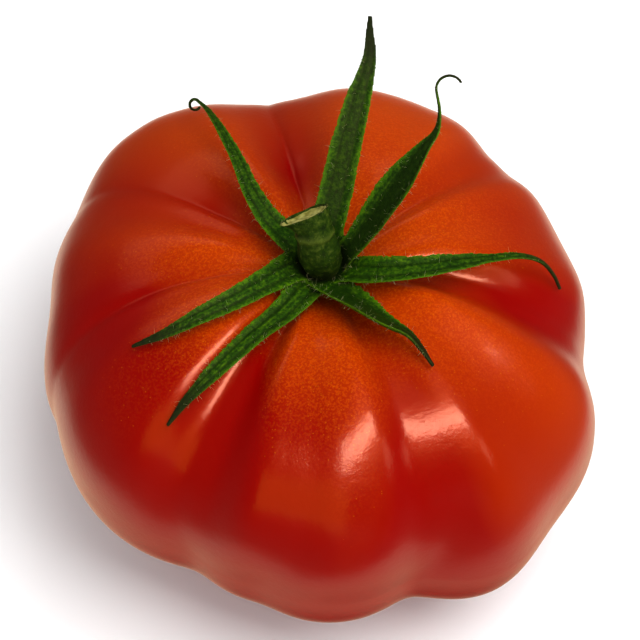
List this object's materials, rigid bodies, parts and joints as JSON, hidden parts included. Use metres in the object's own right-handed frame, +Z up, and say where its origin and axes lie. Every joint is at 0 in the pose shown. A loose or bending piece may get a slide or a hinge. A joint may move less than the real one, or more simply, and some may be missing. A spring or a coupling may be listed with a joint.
{
  "type": "beefsteak tomato",
  "caption": "Ribbed beefsteak tomato as picked: a squat lobed fruit with a green calyx of narrow curling sepals and a short cut stub of stem, standing on its blossom end.",
  "frame": {"origin": "on the surface that the tomato stands on, under the middle of the whole tomato", "axes": "+Z up along the stem axis, -Y towards the front, +X to the right"},
  "size_m": [0.0926, 0.0988, 0.0786],
  "materials": {
    "skin": "glossy ripe tomato skin, blood red with orange-red shoulders and fine golden speckle",
    "sepal": "matt green leaf tissue with dark grooves, fine pale hairs and blackish tips",
    "stem": "matt olive green stem with fine hairs and a pale straw cut end"
  },
  "bodies": {
    "root": {"fruit": "skin", "calyx": "sepal", "stem_stub": "stem"}
  },
  "joints": []
}
